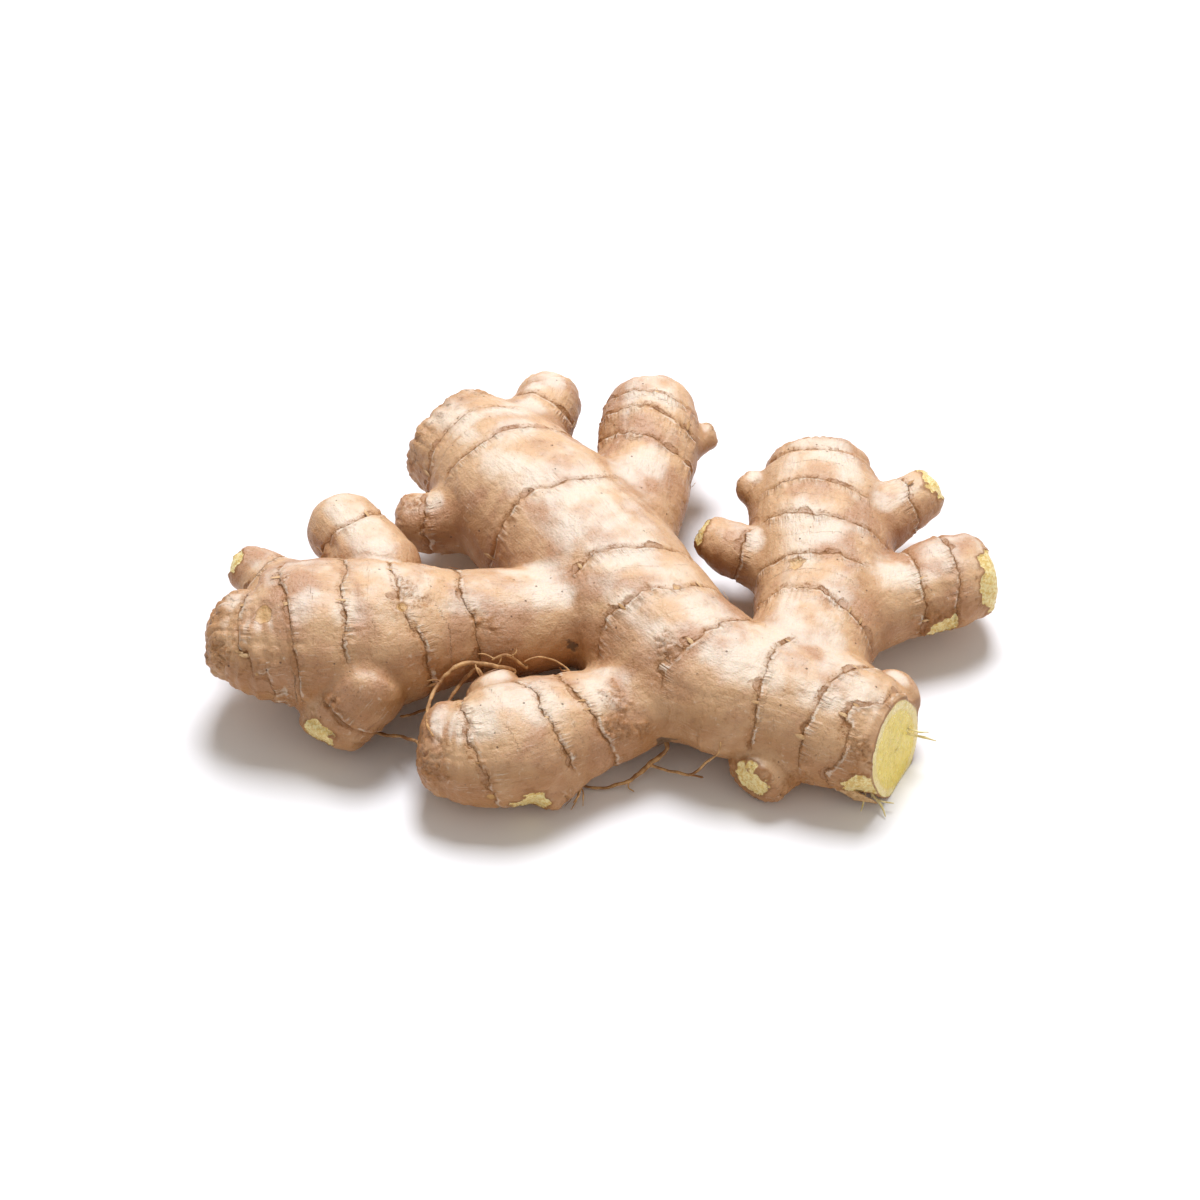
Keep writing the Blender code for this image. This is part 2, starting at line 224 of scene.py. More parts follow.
# ---- fingers as distance fields
class Finger:
    """One finger: a rounded tube along a curve, which tells how far points are from it."""

    def __init__(self, name, stations, end, melt, square, flat=1.0):
        self.name = name
        rows = smooth_path(stations)
        self.start = rows[:-1, :3]
        self.leg = np.diff(rows[:, :3], axis=0)
        self.length = np.linalg.norm(self.leg, axis=1)
        self.tangent = self.leg / self.length[:, None]
        self.before = np.concatenate([[0], np.cumsum(self.length)])
        self.radius = rows[:, 3]
        self.flat, self.end, self.melt, self.square = flat, end, melt, square
        self.reach = self.before[-1] + end * rows[-1, 3]
        margin = rows[:, 3].max() + 5.0
        self.low = rows[:, :3].min(0) - margin
        self.high = rows[:, :3].max(0) + margin
        self.top = np.array([UP - t * t[2] for t in self.tangent])
        self.top /= np.linalg.norm(self.top, axis=1)[:, None]
        self.side = np.cross(self.tangent, self.top)

    def outward(self, leg, degrees):
        """From a leg's middle to its skin at so many degrees around it, for a radius of 1."""
        turn = math.radians(degrees)
        return math.cos(turn) * self.side[leg] + self.flat * math.sin(turn) * self.top[leg]

    def tip(self, degrees, share):
        """A place on the finger's rounded end, a share of its radius out from the middle."""
        out = self.outward(-1, degrees)
        rise = self.end * (1 - share ** self.square) ** (1 / self.square)
        return self.start[-1] + self.leg[-1] + self.radius[-1] * (share * out + rise * self.tangent[-1])

    def spot(self, along, degrees):
        """A place on the skin, so far along the finger and so far around it."""
        leg = int(np.clip(np.searchsorted(self.before, along) - 1, 0, len(self.leg) - 1))
        share = (along - self.before[leg]) / self.length[leg]
        radius = self.radius[leg] + share * (self.radius[leg + 1] - self.radius[leg])
        return self.start[leg] + share * self.leg[leg] + radius * self.outward(leg, degrees)

    def near(self, points):
        """The numbers of the points that lie in the box around the finger."""
        return np.where(((points > self.low) & (points < self.high)).all(1))[0]

    def locate(self, points):
        """Distance to the finger's skin, place along the finger, and offsets to its side and top."""
        count = len(points)
        best = np.full(count, np.inf)
        leg = np.zeros(count, int)
        share = np.zeros(count)
        last = len(self.leg) - 1
        for i, (start, way, length) in enumerate(zip(self.start, self.leg, self.length)):
            offset = points - start
            t = offset @ way / length ** 2
            inside = np.clip(t, 0, 1)
            gap = offset - inside[:, None] * way
            gap = np.einsum("ij,ij->i", gap, gap)
            nearer = gap < best - 1e-9
            best[nearer] = gap[nearer]
            leg[nearer] = i
            share[nearer] = np.clip(t, 0 if i else None, 1 if i < last else None)[nearer]
        inside = np.clip(share, 0, 1)
        offset = points - self.start[leg] - inside[:, None] * self.leg[leg]
        radius = self.radius[leg] + (self.radius[leg + 1] - self.radius[leg]) * inside
        side = np.einsum("ij,ij->i", offset, self.side[leg])
        top = np.einsum("ij,ij->i", offset, self.top[leg])
        past = np.einsum("ij,ij->i", offset, self.tangent[leg])
        past = np.where(past > 0, np.where(leg == last, past / self.end, 0), np.where(leg == 0, past, 0))
        around = side ** 2 + (top / self.flat) ** 2
        span = (around ** (self.square / 2) + np.abs(past) ** self.square) ** (1 / self.square)
        return span - radius, self.before[leg] + share * self.length[leg], side, top, radius, leg


FINGER_LIST = [Finger(name, **facts) for name, facts in FINGERS.items()]
FINGER_NAMED = {finger.name: finger for finger in FINGER_LIST}


def marked(marks):
    """Centre and radius of each mark on the skin."""
    return [(*FINGER_NAMED[name].spot(along, degrees), radius) for name, along, degrees, radius in marks]


def scarred_tips():
    """Centre and radius of each scar on a finger's tip."""
    return [(*FINGER_NAMED[name].tip(degrees, share), radius)
            for name, (radius, degrees, share) in TIP_SCARS.items()]


def melt_together(a, b, melt):
    """The smaller of two distances, rounded where they are alike."""
    share = np.clip(0.5 + 0.5 * (a - b) / melt, 0, 1)
    return a * (1 - share) + b * share - melt * share * (1 - share)


def knife_distance(points):
    """Distance past the knife's plane. The blade ends a short way outside the trunk."""
    offset = points - KNIFE_POINT
    return offset @ KNIFE_NORMAL - 3 * np.maximum(np.linalg.norm(offset, axis=1) - KNIFE_REACH, 0)


def body_distance(points):
    """Distance to the whole rhizome before the knife cut. The left finger's group joins last."""
    groups = [np.full(len(points), FAR), np.full(len(points), FAR)]
    for finger in FINGER_LIST:
        group = groups[finger.name.startswith("left")]
        close = finger.near(points)
        if len(close):
            group[close] = melt_together(group[close], finger.locate(points[close])[0], finger.melt)
    apart = smoothstep(TOUCH_Y + TOUCH_FADE, TOUCH_Y, points[:, 1])
    return melt_together(groups[0], groups[1], GROUP_MELT + (TOUCH_MELT - GROUP_MELT) * apart)


def root_distance(points):
    """Distance to the cut rhizome, flat where it rests on the table."""
    return np.maximum(np.maximum(body_distance(points), knife_distance(points)), -points[:, 2])


# ---- from distances to a mesh
# Grid points along a block's edge, and how near the skin a block's points get an exact distance.
BLOCK = 4
BAND = 3.0


def sample_grid(step):
    """Distances on a regular grid: exact near the skin, and rough but rightly signed elsewhere."""
    low = np.array(cad_box[0]) / MM - 2.5
    high = np.array(cad_box[1]) / MM + 2.5
    blocks = np.ceil((high - low) / (step * BLOCK)).astype(int)
    centres = np.stack(np.meshgrid(*[np.arange(n) for n in blocks], indexing="ij"), -1).reshape(-1, 3)
    rough = root_distance(low + (centres * BLOCK + (BLOCK - 1) / 2) * step)
    values = rough.reshape(blocks).astype(np.float32)
    for axis in range(3):
        values = np.repeat(values, BLOCK, axis=axis)
    nodes = np.argwhere(np.abs(values) < BAND)
    exact = np.concatenate([root_distance(low + part * step) for part in np.array_split(nodes, 8)])
    values[tuple(nodes.T)] = exact
    return values, low


def wrap(values):
    """A closed quad mesh around the grid's negative side: one point in each cell that the skin crosses."""
    inside = values < 0
    corner_sets, spots, flips = [], [], []
    for axis in range(3):
        lower = tuple(slice(None, -1) if a == axis else slice(None) for a in range(3))
        upper = tuple(slice(1, None) if a == axis else slice(None) for a in range(3))
        crossing = inside[lower] != inside[upper]
        node = np.argwhere(crossing)
        near, far = values[lower][crossing], values[upper][crossing]
        spot = node.astype(float)
        spot[:, axis] += near / (near - far)
        corners = []
        for du, dv in ((0, 0), (1, 0), (1, 1), (0, 1)):
            cell = node.copy()
            cell[:, (axis + 1) % 3] -= du
            cell[:, (axis + 2) % 3] -= dv
            corners.append(np.ravel_multi_index(cell.T, values.shape))
        corner_sets.append(np.stack(corners, 1))
        spots.append(spot)
        flips.append(near > 0)
    corners, spots, flips = np.concatenate(corner_sets), np.concatenate(spots), np.concatenate(flips)
    _, index = np.unique(corners.ravel(), return_inverse=True)
    index = index.reshape(-1)
    hits = np.bincount(index)
    spots = np.repeat(spots, 4, axis=0)
    points = np.stack([np.bincount(index, spots[:, axis]) / hits for axis in range(3)], 1)
    quads = index.reshape(-1, 4)
    quads[flips] = quads[flips][:, ::-1]
    return points, quads


def grid_slope(values, points):
    """The distance and its slope at points given in grid units."""
    cell = np.floor(points).astype(int)
    t = points - cell
    value = np.zeros(len(points))
    slope = np.zeros((len(points), 3))
    for step in np.array(CORNERS):
        at = values[tuple((cell + step).T)]
        share = np.where(step, t, 1 - t)
        value += at * share.prod(1)
        for axis in range(3):
            others = share[:, (axis + 1) % 3] * share[:, (axis + 2) % 3]
            slope[:, axis] += at * others * (1 if step[axis] else -1)
    return value, slope


def neighbour_mean(quads, field, count):
    """The mean of a value over each point's neighbours."""
    a, b = quads.ravel(), np.roll(quads, -1, axis=1).ravel()
    hits = np.bincount(a, minlength=count) + np.bincount(b, minlength=count)
    columns = field.reshape(count, -1)
    mean = [(np.bincount(a, c[b], minlength=count) + np.bincount(b, c[a], minlength=count)) / hits
            for c in columns.T]
    return np.stack(mean, 1).reshape(field.shape)


def even_out(points, quads, values, passes=4):
    """Slides the points into even spacing and keeps them on the skin. Gives them with their normals."""
    for _ in range(passes):
        points = points * 0.5 + neighbour_mean(quads, points, len(points)) * 0.5
        value, slope = grid_slope(values, points)
        points -= (value / np.maximum((slope ** 2).sum(1), 1e-6))[:, None] * slope
    slope = grid_slope(values, points)[1]
    for _ in range(2):
        slope = slope * 0.5 + neighbour_mean(quads, slope, len(points)) * 0.5
    return points, slope / np.linalg.norm(slope, axis=1)[:, None]


# ---- finger coordinates of the skin
class Skin:
    """The points of the skin with what each one knows about its finger, its rings and its scars."""

    def __init__(self, points, normals):
        self.points, self.normals = points, normals
        count = len(points)
        self.owner = np.zeros(count, int)
        self.first, self.second = np.full((2, count), FAR)
        self.along, self.side, self.top = np.zeros((3, count))
        self.radius = np.ones(count)
        self.way = np.tile(UP, (count, 1))
        for number, finger in enumerate(FINGER_LIST):
            close = finger.near(points)
            distance, along, side, top, radius, leg = finger.locate(points[close])
            nearer = distance < self.first[close]
            runner_up = np.where(nearer, self.first[close], np.minimum(distance, self.second[close]))
            self.second[close] = runner_up
            chosen = close[nearer]
            self.first[chosen] = distance[nearer]
            self.owner[chosen] = number
            self.along[chosen] = along[nearer]
            self.side[chosen] = side[nearer]
            self.top[chosen] = top[nearer]
            self.radius[chosen] = radius[nearer]
            self.way[chosen] = finger.tangent[leg[nearer]]
        self.alone = smoothstep(0.3, 2.5, self.second - self.first)
        self.angle = np.arctan2(self.top, self.side)
        self.grain = np.stack([self.side, self.top, self.along * 0.13 + self.owner * 40], 1)
        self.cut = knife_distance(points) - body_distance(points)
        self.from_tip = np.array([f.reach for f in FINGER_LIST])[self.owner] - self.along
        self.measure_rings()

    def measure_rings(self):
        """Signed distance to the nearest ring, positive towards the tip, and the stretch between rings."""
        count = len(self.points)
        self.ring, self.rival = np.full((2, count), NO_RING)
        self.past_ring, self.to_ring = np.full((2, count), LONG_STRETCH)
        self.flake = np.full(count, NO_PATCH)
        draw = np.random.default_rng(5)
        for number, finger in enumerate(FINGER_LIST):
            mine = np.where(self.owner == number)[0]
            angle, radius = self.angle[mine], self.radius[mine]
            circle = np.stack([np.cos(angle) * radius, np.sin(angle) * radius, np.zeros(len(mine))], 1)
            (lean_side, lean_top), places = RINGS.get(finger.name, ((0, 0), ()))
            for turn, place in enumerate(places):
                seed = number * 9 + turn
                wobble = 1.0 * noise(circle, 7, seed) + 0.5 * noise(circle, 2.6, seed + 3)
                ragged = smoothstep(-0.3, 0.4, noise(circle, 6, seed + 6))
                wobble += 0.8 * np.abs(noise(circle, 1.7, seed + 5)) * ragged
                line = place + lean_side * np.cos(angle) + lean_top * np.sin(angle) + wobble
                distance = self.along[mine] - line
                nearer = np.abs(distance) < np.abs(self.ring[mine])
                self.rival[mine] = np.where(nearer, np.abs(self.ring[mine]),
                                            np.minimum(self.rival[mine], np.abs(distance)))
                self.ring[mine[nearer]] = distance[nearer]
                ahead = distance < 0
                self.to_ring[mine[ahead]] = np.minimum(self.to_ring[mine], -distance)[ahead]
                self.past_ring[mine[~ahead]] = np.minimum(self.past_ring[mine], distance)[~ahead]
                self.add_flakes(mine, angle, radius, distance, draw)
        self.ringed = self.alone * smoothstep(0.2, 1.2, self.rival - np.abs(self.ring))

    def add_flakes(self, mine, angle, radius, distance, draw):
        """Half-oval scars and papery flakes that sit on the tip side of a ring."""
        girth = 2 * math.pi * float(np.median(radius)) if len(radius) else 0
        for _ in range(int(girth / 13)):
            centre = draw.uniform(-math.pi, math.pi)
            half_width = draw.uniform(1.0, 2.8)
            height = draw.uniform(0.7, 1.7)
            turn = np.angle(np.exp(1j * (angle - centre))) * radius
            oval = np.hypot(turn / half_width, np.maximum(distance, -0.2 * height) / height) - 1
            oval = np.maximum(oval * min(half_width, height), -distance)
            self.flake[mine] = np.minimum(self.flake[mine], oval)

    def patch(self, patches, ragged=0.35):
        """Signed distance to the edge of the nearest patch, negative inside."""
        edge = np.full(len(self.points), NO_PATCH)
        rag = ragged * (1.6 * noise(self.points, 1.9, 4) + 0.8 * noise(self.points, 0.9, 5))
        for x, y, z, radius in patches:
            gap = np.linalg.norm(self.points - (x, y, z), axis=1) - radius
            edge = np.minimum(edge, gap + rag * min(radius, 2.5))
        return edge


# ---- relief of the skin
def relief(skin):
    """How far each point of the skin is lifted, in millimetres."""
    p, grain = skin.points, skin.grain
    lift = 0.45 * noise(p, 11) + 0.26 * noise(p, 4.5, 2) + 0.12 * noise(p, 2.1, 3) + 0.06 * noise(p, 1.1, 6)

    stretch = skin.past_ring + skin.to_ring
    swell = np.sin(math.pi * skin.past_ring / stretch) ** 0.8
    lift += skin.alone * (np.minimum(0.55, 0.05 * stretch) * swell - 0.25)

    ring, alone = skin.ring, skin.ringed
    patchy = 0.6 + 0.4 * noise(p, 5, 8)
    lift -= alone * 0.12 * np.exp(-(ring / 0.35) ** 2)
    lift += alone * patchy * 0.34 * np.exp(-((ring + 0.75) / 0.5) ** 2)
    lift += alone * 0.08 * np.exp(-((ring - 0.9) / 0.5) ** 2)

    pleated = smoothstep(-0.15, 0.5, noise(p, 8, 9)) * alone
    behind = np.exp(-np.abs(ring) / 2.6) * np.where(ring < 0, 1, 0.35) * smoothstep(0.1, 0.8, np.abs(ring))
    lift += 0.95 * pleated * behind * noise(grain, 1.15, 1)
    drawn = (0.25 + 0.75 * smoothstep(-0.2, 0.5, noise(p, 11, 12))) * skin.alone
    lift += drawn * (0.07 * noise(grain, 0.9, 7) + 0.1 * noise(grain, 1.8, 17))

    flake = skin.flake
    lift -= alone * 0.16 * smoothstep(0.1, -0.3, flake)
    lift += alone * 0.14 * np.exp(-((flake - 0.15) / 0.3) ** 2)

    for number, finger in enumerate(FINGER_LIST):
        amount, length = CRUMPLED_TIPS.get(finger.name, (0, 1))
        mask = amount * smoothstep(length, length * 0.25, skin.from_tip) * (skin.owner == number)
        folds = 0.55 * ridges(grain, 2.0, number) + 0.3 * ridges(p, 3.4, 20 + number)
        folds += 0.25 * ridges(p, 1.5, 50 + number)
        lift += mask * (folds - 0.7) * 1.2
    return lift


def scar_relief(skin, flesh, peeled, crusty):
    """Lift of the bare, peeled and crusty patches."""
    lift = 0.22 * np.exp(-((flesh - 0.1) / 0.35) ** 2) - 0.28 * smoothstep(0.1, -0.5, flesh)
    lift += 0.16 * np.exp(-((peeled - 0.1) / 0.3) ** 2) - 0.3 * smoothstep(0.1, -0.4, peeled)
    lift += smoothstep(0.9, -0.6, crusty) * 0.6 * (ridges(skin.points, 1.3, 15) - 0.4)
    return lift


def cut_relief(skin):
    """The knife cut: almost flat, a little sunk inside its rim, with the ends of torn fibres."""
    depth = skin.cut
    lift = -0.35 * smoothstep(0.8, 4, depth) + 0.07 * noise(skin.points, 1.2, 31)
    return lift + 0.05 * noise(skin.points, 3, 32)


def linked(name, data):
    """A new object in the scene with this mesh, lamp or lens."""
    made = bpy.data.objects.new(name, data)
    bpy.context.scene.collection.objects.link(made)
    return made


def new_object(name, points, faces, material, smooth=True):
    """A mesh object from points in millimetres."""
    mesh = bpy.data.meshes.new(name)
    faces = np.asarray(faces)
    corners = faces.shape[1]
    mesh.vertices.add(len(points))
    mesh.vertices.foreach_set("co", (np.asarray(points) * MM).astype(np.float32).ravel())
    mesh.loops.add(faces.size)
    mesh.loops.foreach_set("vertex_index", faces.astype(np.int32).ravel())
    mesh.polygons.add(len(faces))
    mesh.polygons.foreach_set("loop_start", np.arange(0, faces.size, corners, dtype=np.int32))
    mesh.update(calc_edges=True)
    mesh.validate()
    if smooth:
        mesh.shade_smooth()
    mesh.materials.append(material)
    return linked(name, mesh)


def store(mesh, name, values):
    """Keeps a number, or a vector, for each point, for the material to read."""
    values = np.asarray(values, np.float32)
    kind, field = ("FLOAT_VECTOR", "vector") if values.ndim == 2 else ("FLOAT", "value")
    mesh.attributes.new(name, kind, "POINT").data.foreach_set(field, values.ravel())


def make_rhizome(material):
    """The rhizome's skin as one closed mesh, with what each of its points knows for the material."""
    values, low = sample_grid(GRID_STEP)
    points, quads = wrap(values)
    points, normals = even_out(points, quads, values)
    skin = Skin(low + points * GRID_STEP, normals)
    flesh = skin.patch(scarred_tips() + marked(FLESH_SCARS))
    peeled = skin.patch(marked(PEELED_MARKS))
    crusty = skin.patch(marked(CRUSTY_MARKS), 0.6)
    dirt = skin.patch(marked(SOIL_MARKS), 0.8)
    on_cut = smoothstep(-0.1, 0.3, skin.cut)
    clear = smoothstep(0.3, 1.5, np.minimum(flesh, peeled))
    lift = relief(skin) * (0.3 + 0.7 * clear) + scar_relief(skin, flesh, peeled, crusty)
    lift = lift * (1 - on_cut) + cut_relief(skin) * on_cut
    shown = skin.points + normals * lift[:, None]
    shown[:, 2] = np.maximum(shown[:, 2], 0)
    rhizome = new_object("rhizome_skin", shown, quads, material)
    tip_worn = np.zeros(len(shown))
    for number, finger in enumerate(FINGER_LIST):
        amount, length = CRUMPLED_TIPS.get(finger.name, (0, 1))
        mine = skin.owner == number
        tip_worn[mine] = amount * smoothstep(length, 0.5, skin.from_tip[mine])
    # under is how far the skin faces down; the material uses it for painted shade below and a painted
    # highlight on top
    known = {"grain": skin.grain, "ring": np.clip(skin.ring, -4, 4), "ringed": skin.ringed,
             "flake": np.clip(skin.flake, -2, 2), "alone": skin.alone, "flesh": flesh, "peeled": peeled,
             "crusty": crusty, "dirt": dirt, "cut": np.clip(skin.cut, -3, 12), "tip_worn": tip_worn,
             "under": smoothstep(1.0, 0.05, normals[:, 2])}
    for name, value in known.items():
        store(rhizome.data, name, value)
    return rhizome, skin


# ---- materials
class Shader:
    """A material with short calls for the nodes that it is made of."""

    def __init__(self, name):
        self.material = bpy.data.materials.new(name)
        self.material.use_nodes = True
        self.tree = self.material.node_tree
        self.surface = self.tree.nodes["Principled BSDF"]

    def node(self, kind, inputs=(), **settings):
        """A node of a kind, with values or links on its inputs."""
        made = self.tree.nodes.new("ShaderNode" + kind)
        for key, value in settings.items():
            setattr(made, key, value)
        for socket, value in dict(inputs).items():
            self.feed(made.inputs[socket], value)
        return made

    def feed(self, socket, value):
        if isinstance(value, bpy.types.NodeSocket):
            self.tree.links.new(value, socket)
        else:
            socket.default_value = value

    def read(self, name):
        return self.node("Attribute", attribute_name=name)

    def number(self, name):
        return self.read(name).outputs["Fac"]

    def math(self, operation, a, b=0.0, clamp=False):
        return self.node("Math", {0: a, 1: b}, operation=operation, use_clamp=clamp).outputs[0]

    def times(self, a, b, clamp=False):
        return self.math("MULTIPLY", a, b, clamp)

    def plus(self, a, b):
        return self.math("ADD", a, b)

    def minus(self, a, b, clamp=False):
        return self.math("SUBTRACT", a, b, clamp)

    def absolute(self, a):
        return self.math("ABSOLUTE", a)

    def range(self, value, low, high, to_low=0.0, to_high=1.0):
        """A number moved smoothly from one range to another."""
        made = self.node("MapRange", {0: value, 1: low, 2: high, 3: to_low, 4: to_high})
        made.interpolation_type = "SMOOTHSTEP"
        return made.outputs[0]

    def noise(self, vector, size, detail=2.0, rough=0.5, warp=0.0):
        """Cloudy noise around 0.5, in a space measured in millimetres."""
        inputs = {"Vector": vector, "Scale": 1 / size, "Detail": detail, "Roughness": rough,
                  "Distortion": warp}
        return self.node("TexNoise", inputs).outputs["Fac"]

    def mix(self, share, a, b, blend="MIX"):
        made = self.node("Mix", data_type="RGBA", blend_type=blend)
        self.feed(made.inputs[0], share)
        self.feed(made.inputs[6], a)
        self.feed(made.inputs[7], b)
        return made.outputs[2]

    def finish(self, inputs):
        """Sets or links the surface's own sockets, and gives the material."""
        for socket, value in inputs.items():
            self.feed(self.surface.inputs[socket], value)
        return self.material

    def place(self):
        """The place on the piece, in millimetres."""
        made = self.node("VectorMath", {0: self.node("TexCoord").outputs["Object"], 1: (1000,) * 3})
        made.operation = "MULTIPLY"
        return made.outputs[0]


def rgb(red, green, blue):
    """A colour given in everyday 0 to 255 values."""
    linear = [c / 12.92 if c <= 0.04045 else ((c + 0.055) / 1.055) ** 2.4
              for c in (red / 255, green / 255, blue / 255)]
    return (*linear, 1.0)


CREAM = rgb(220, 179, 136)
MAUVE = rgb(197, 151, 116)
GOLDEN = rgb(168, 112, 58)
PALE = rgb(241, 227, 206)
RING_BROWN = rgb(152, 100, 50)
BARK_BROWN = rgb(160, 112, 68)
DARK_SPOT = rgb(96, 66, 40)
SOIL = rgb(84, 66, 48)
FLESH = rgb(222, 186, 104)
FLESH_PALE = rgb(244, 226, 166)
PEELED = rgb(232, 188, 112)
PEELED_DARK = rgb(196, 146, 84)
CUT_DEEP = rgb(222, 196, 78)
CUT_INNER = rgb(248, 222, 106)
CUT_OUTER = rgb(246, 226, 160)
CUT_FIBRE = rgb(246, 234, 186)
# Dark tone, light tone and cracks of the dry and the pale trimmings.
ROOTLET_TONES = (rgb(150, 102, 58), rgb(212, 166, 110), rgb(96, 62, 36))
PAPERY_TONES = (rgb(186, 138, 84), rgb(226, 188, 138), rgb(140, 94, 52))
FIBRE_TONES = (rgb(222, 200, 128), rgb(246, 232, 178), rgb(196, 166, 96))


def skin_material():
    """Ginger skin with its rings, scars and soil, and the flesh that scars and the knife laid bare, with
    painted shade below, between fingers and in the tips' creases, and a painted highlight on top.
    """
    s = Shader("ginger_skin")
    place = s.place()
    grain = s.read("grain").outputs["Vector"]
    alone = s.number("alone")
    ringed = s.number("ringed")

    # broad tones: cream, mauve and, at the tips, golden; golden painted shade also darkens skin that faces
    # down and the places where fingers join
    mauve_share = s.range(s.noise(place, 15, 3, 0.55, 0.6), 0.42, 0.64)
    colour = s.mix(mauve_share, CREAM, MAUVE)
    # painted shade: golden on skin that faces down and where two fingers meet
    under = s.times(s.number("under"), 0.72)
    worn = s.times(s.number("tip_worn"), 0.7)
    join_shade = s.range(alone, 1.0, 0.0, 0.0, 0.35)
    golden_tips_and_shade = s.math("MAXIMUM", s.math("MAXIMUM", under, worn), join_shade)
    golden_tips_and_shade = s.times(golden_tips_and_shade, s.range(s.noise(place, 6, 3), 0.25, 0.6, 0.6, 1.15), True)
    colour = s.mix(golden_tips_and_shade, colour, GOLDEN)

    # fine mottling, and streaks that run along each finger
    mottle = s.noise(place, 1.6, 4, 0.65)
    colour = s.mix(s.range(mottle, 0.46, 0.26, 0.0, 0.5), colour, BARK_BROWN)
    stipple = s.times(s.range(s.noise(place, 0.55, 3, 0.7), 0.48, 0.32, 0.0, 0.75), mauve_share)
    colour = s.mix(stipple, colour, BARK_BROWN)
    colour = s.mix(s.range(mottle, 0.6, 0.8, 0.0, 0.45), colour, PALE)
    streak = s.noise(grain, 0.5, 3, 0.6)
    # painted highlight: skin that faces straight up turns pale
    upward = s.range(s.number("under"), 0.12, 0.0)
    painted_top_highlight = s.times(upward, s.range(s.noise(place, 10, 3), 0.36, 0.6))
    colour = s.mix(s.times(painted_top_highlight, 0.7), colour, PALE)
    streaked = s.times(s.range(s.noise(place, 9, 2), 0.38, 0.62), alone)
    pale_streak = s.times(s.range(streak, 0.56, 0.75, 0.0, 0.3), streaked)
    dark_streak = s.times(s.range(streak, 0.44, 0.28, 0.0, 0.35), streaked)
    colour = s.mix(pale_streak, colour, PALE)
    colour = s.mix(dark_streak, colour, BARK_BROWN)

    # tan band and thin brown line of each growth ring
    fray = s.minus(s.noise(place, 0.9, 3, 0.6), 0.5)
    ring = s.plus(s.number("ring"), s.times(fray, 1.1))
    off_ring = s.absolute(ring)
    band = s.times(s.range(off_ring, 1.7, 0.2, 0.0, 0.5), s.range(mottle, 0.3, 0.7, 1.0, 0.3))
    colour = s.mix(s.times(band, ringed), colour, GOLDEN)
    broken = s.range(s.noise(place, 2.4, 3, 0.6), 0.36, 0.55, 0.2, 1.0)
    width = s.range(s.noise(place, 1.8, 2), 0.35, 0.65, 0.15, 0.42)
    line = s.times(s.minus(1.0, s.math("DIVIDE", off_ring, width), True), broken)
    line = s.times(line, ringed)
    lip = s.range(s.absolute(s.plus(ring, 0.6)), 0.4, 0.1, 0.0, 0.5)
    lip = s.times(lip, s.range(s.noise(place, 3.1, 2), 0.45, 0.6))
    colour = s.mix(s.times(lip, ringed), colour, PALE)
    crumb = s.range(s.noise(place, 0.8, 3, 0.7), 0.5, 0.36, 0.0, 0.75)
    crumb = s.times(crumb, s.range(s.absolute(s.minus(ring, 0.4)), 1.3, 0.3))
    crumb = s.times(s.times(crumb, broken), ringed)
    colour = s.mix(crumb, colour, RING_BROWN)
    colour = s.mix(s.times(line, 0.9), colour, RING_BROWN)

    # short pleats that run into each ring from the finger's base, with painted shade between the pleats and
    # a painted highlight on their crests
    pleat = s.noise(grain, 0.62, 2, 0.5)
    behind = s.times(s.range(ring, -3.6, -0.6), s.range(ring, 0.2, -0.2))
    pleated = s.times(s.range(s.noise(place, 5, 2), 0.4, 0.58), ringed)
    behind = s.times(behind, pleated)
    colour = s.mix(s.times(s.range(pleat, 0.46, 0.32, 0.0, 0.6), behind), colour, BARK_BROWN)
    colour = s.mix(s.times(s.range(pleat, 0.54, 0.7, 0.0, 0.5), behind), colour, PALE)

    # flakes and half-oval scars on the tip side of the rings
    flake = s.plus(s.number("flake"), s.times(fray, 1.2))
    inside = s.times(s.range(flake, 0.1, -0.25, 0.0, 0.6), ringed)
    colour = s.mix(inside, colour, s.mix(mottle, BARK_BROWN, MAUVE))
    edge = s.range(s.absolute(flake), 0.28, 0.05)
    edge = s.times(edge, s.times(broken, ringed))
    colour = s.mix(s.times(edge, 0.8), colour, RING_BROWN)

    # small dark dots
    dots = s.node("TexVoronoi", {"Vector": place, "Scale": 0.36, "Randomness": 1.0})
    chosen = s.range(s.node("SeparateColor", {0: dots.outputs["Color"]}).outputs[0], 0.55, 0.6)
    dot_size = s.plus(dots.outputs["Distance"], s.times(fray, 0.12))
    dot = s.times(s.range(dot_size, 0.11, 0.05, 0.0, 0.75), chosen)
    colour = s.mix(dot, colour, DARK_SPOT)

    # worn tips with painted shade in their creases, crusty root scars and peeled places
    # painted shade: dark wrinkle lines on the crumpled tips
    crease = s.range(s.noise(place, 1.3, 4, 0.7, 0.8), 0.47, 0.36)
    painted_crease_shade = s.times(crease, s.times(s.number("tip_worn"), 0.8))
    colour = s.mix(painted_crease_shade, colour, DARK_SPOT)
    ragged = s.times(fray, 1.6)
    crust = s.range(s.plus(s.number("crusty"), ragged), 1.3, -0.7)
    speckle = s.range(s.noise(place, 0.7, 3, 0.7), 0.36, 0.6, 1.0, 0.25)
    crust = s.times(crust, speckle)
    crust_tone = s.mix(s.range(mottle, 0.38, 0.62), RING_BROWN, GOLDEN)
    colour = s.mix(s.times(crust, 0.75), colour, crust_tone)
    peel = s.plus(s.number("peeled"), s.times(fray, 0.6))
    peel_tone = s.mix(mottle, PEELED_DARK, PEELED)
    colour = s.mix(s.range(peel, 0.2, -0.3, 0.0, 0.6), colour, peel_tone)
    peel_edge = s.range(s.absolute(peel), 0.3, 0.05, 0.0, 0.5)
    colour = s.mix(peel_edge, colour, RING_BROWN)

